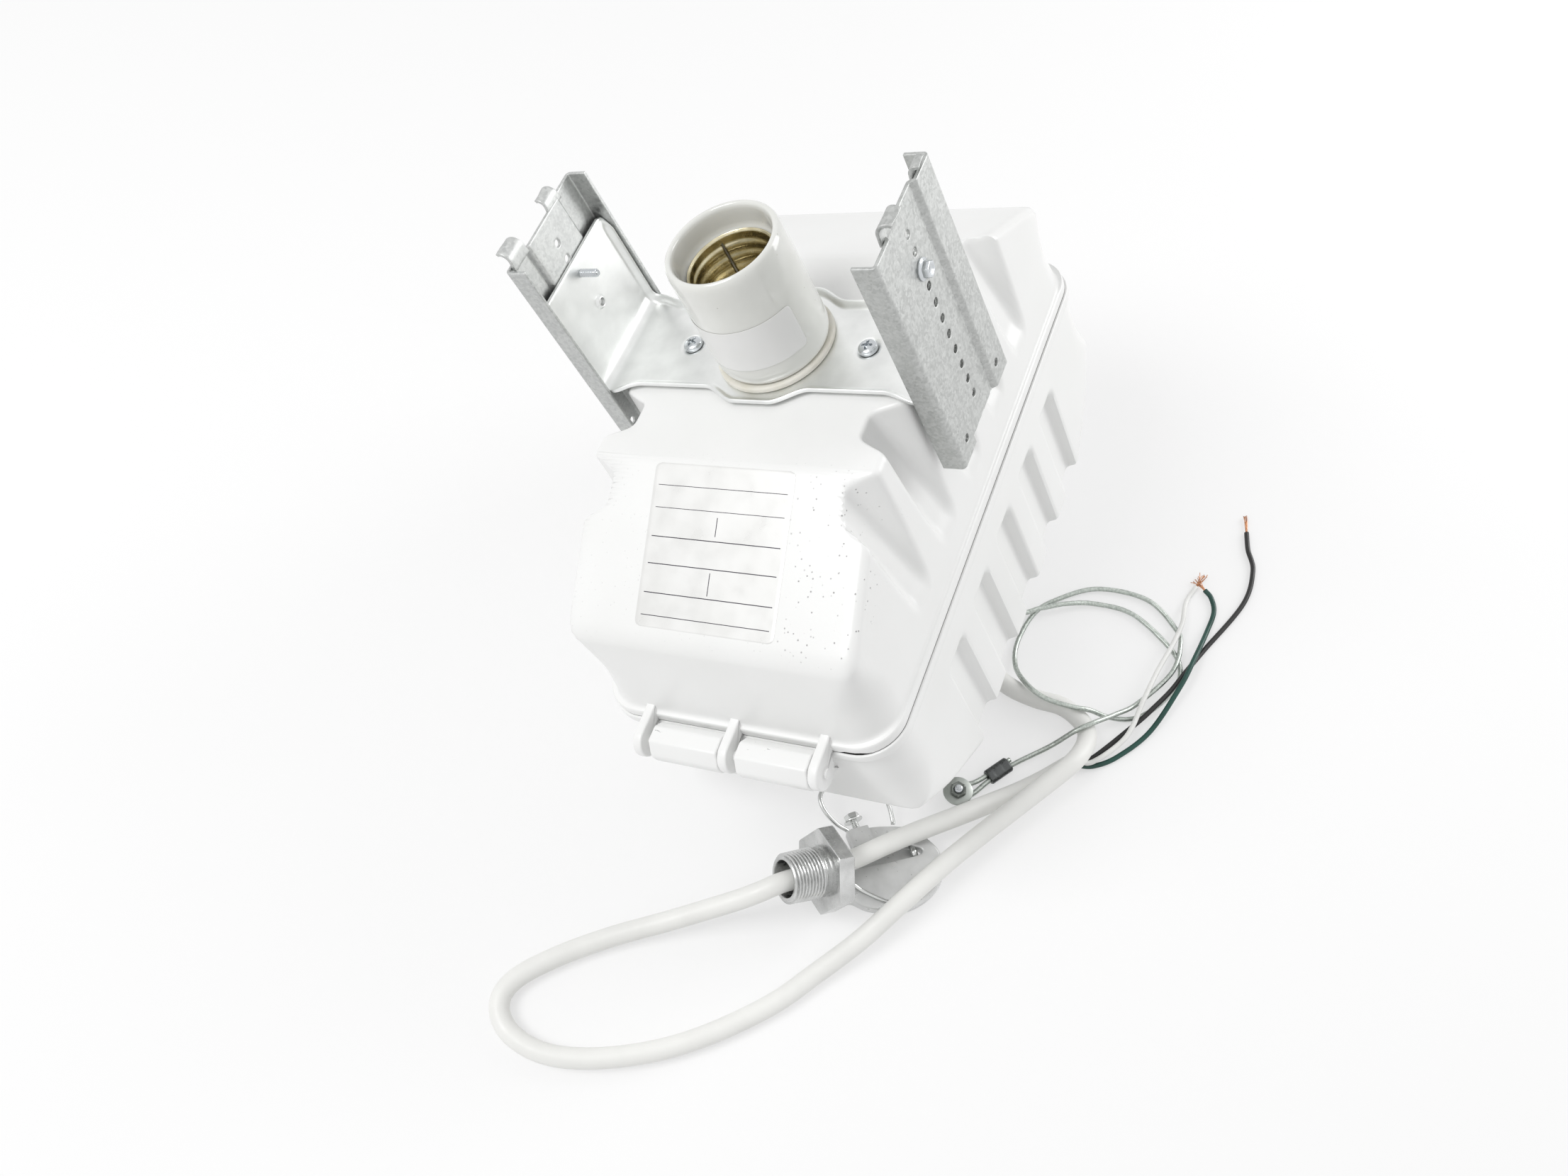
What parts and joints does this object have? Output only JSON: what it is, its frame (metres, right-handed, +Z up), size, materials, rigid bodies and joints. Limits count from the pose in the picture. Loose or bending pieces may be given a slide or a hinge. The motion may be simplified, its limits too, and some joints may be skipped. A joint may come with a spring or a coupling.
{
  "type": "high-bay lamp head",
  "caption": "High-bay discharge lamp head with a hinged two-piece ballast housing, screw socket on a bracket, reflector rails, hook, cord and safety cable.",
  "frame": {"origin": "on the floor, under the middle of the lamp head's box as it lies, leaving out the cord, hook and cable", "axes": "+Z up from the floor, +Y along the housing from its hinge to its far end, +X to the raised side"},
  "size_m": [0.3845, 0.4697, 0.3213],
  "materials": {
    "white_coat": "white powder coat on cast aluminium",
    "black_rubber": "matt",
    "zinc_steel": "bright zinc plate",
    "galvanised": "galvanised, spangled",
    "porcelain": "gloss glaze",
    "nickel_brass": "nickel-plated brass",
    "label": "silver film, blank",
    "iron": "varnished laminations",
    "copper": "varnished copper winding",
    "grey_plastic": "matt",
    "bare_aluminium": "as cast",
    "white_pvc": "soft satin jacket",
    "black_pvc": "satin",
    "green_pvc": "satin",
    "cable": "clear-coated strand"
  },
  "bodies": {
    "upper_half": {"upper_housing": "white_coat", "gasket": "black_rubber", "hinge_pin_left": "zinc_steel", "hinge_pin_right": "zinc_steel", "ballast_core": "iron", "ballast_coil": "copper", "ballast_bracket_left": "zinc_steel", "ballast_bracket_right": "zinc_steel", "ballast_bolt_left": "zinc_steel", "ballast_bolt_right": "zinc_steel", "capacitor": "bare_aluminium", "capacitor_strap": "galvanised", "strap_screw_front": "zinc_steel", "strap_screw_back": "zinc_steel", "ignitor": "grey_plastic", "ignitor_screw": "zinc_steel", "terminal_block": "grey_plastic", "terminal_screw": "zinc_steel", "hub_bushing": "black_rubber", "cable_anchor": "zinc_steel", "cord": "white_pvc", "black_wire": "black_pvc", "white_wire": "white_pvc", "green_wire": "green_pvc", "hook_body": "bare_aluminium", "hook_bolt": "zinc_steel", "safety_cable": "cable", "cable_ferrule": "black_rubber", "cable_bolt": "zinc_steel", "cable_washer": "zinc_steel", "cable_nut": "zinc_steel"},
    "lower_half": {"lower_housing": "white_coat", "rating_plate": "label", "socket_bracket": "zinc_steel", "bracket_screw_left": "zinc_steel", "bracket_screw_right": "zinc_steel", "socket_body": "porcelain", "screw_shell": "nickel_brass", "socket_screw_left": "zinc_steel", "socket_screw_right": "zinc_steel", "left_rail": "galvanised", "right_rail": "galvanised", "left_rail_screw": "zinc_steel", "right_rail_screw": "zinc_steel"},
    "closing_screw_left": {"closing_screw_left": "zinc_steel"},
    "closing_screw_right": {"closing_screw_right": "zinc_steel"},
    "centre_contact": {"centre_contact": "nickel_brass"},
    "latch_wire": {"latch_wire": "zinc_steel"}
  },
  "joints": [
    {"name": "housing_hinge", "type": "hinge", "parent": "upper_half", "child": "lower_half", "pos_m": [0.02554, -0.15765, 0.1146], "axis": [0.9166, 0, 0.3998], "range_deg": [0, 105]},
    {"name": "closing_screw_left_slide", "type": "slide", "parent": "lower_half", "child": "closing_screw_left", "axis": [-0.3998, 0, 0.9166], "range_m": [0, 0.009]},
    {"name": "closing_screw_right_slide", "type": "slide", "parent": "lower_half", "child": "closing_screw_right", "axis": [-0.3998, 0, 0.9166], "range_m": [0, 0.009]},
    {"name": "contact_spring", "type": "slide", "parent": "lower_half", "child": "centre_contact", "axis": [-0.3998, 0, 0.9166], "range_m": [-0.0025, 0], "stiffness_N_per_m": 1500, "springref_m": 0.001},
    {"name": "latch_hinge", "type": "hinge", "parent": "upper_half", "child": "latch_wire", "pos_m": [0.08366, -0.14422, 0.0049], "axis": [0.7314, 0.682, 0], "range_deg": [0, 60]}
  ]
}
